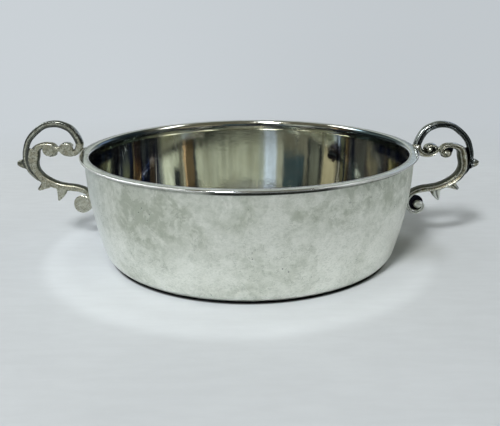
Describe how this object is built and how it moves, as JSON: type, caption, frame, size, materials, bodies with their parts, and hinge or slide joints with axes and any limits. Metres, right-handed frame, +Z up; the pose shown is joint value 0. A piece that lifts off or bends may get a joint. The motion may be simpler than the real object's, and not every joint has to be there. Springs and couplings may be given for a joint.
{
  "type": "two-handled bowl",
  "caption": "Shallow round bowl with an upright wall, a flat base, an applied rim moulding and a cast scroll handle soldered on each side.",
  "frame": {"origin": "centre of the flat base, on the surface that the bowl stands on", "axes": "+X towards the handle that shows its modelled front to -Y, +Z up along the axis of the bowl"},
  "size_m": [0.2108, 0.15, 0.0606],
  "materials": {
    "worn_silver": "silver worn to a soft sheen, mottled with pale grey and olive-grey tarnish and small pits outside, brighter inside",
    "polished_silver": "silver polished by handling, with fine scratches",
    "cast_silver": "cast silver with brown-olive tarnish, bright on its ridges and dark in its hollows",
    "solder": "bright silver solder, smooth and slightly pitted"
  },
  "bodies": {
    "root": {"bowl_body": "worn_silver", "rim_moulding": "polished_silver", "right_handle": "cast_silver", "right_rim_solder": "solder", "right_foot_solder": "solder", "left_handle": "cast_silver", "left_rim_solder": "solder", "left_foot_solder": "solder"}
  },
  "joints": []
}
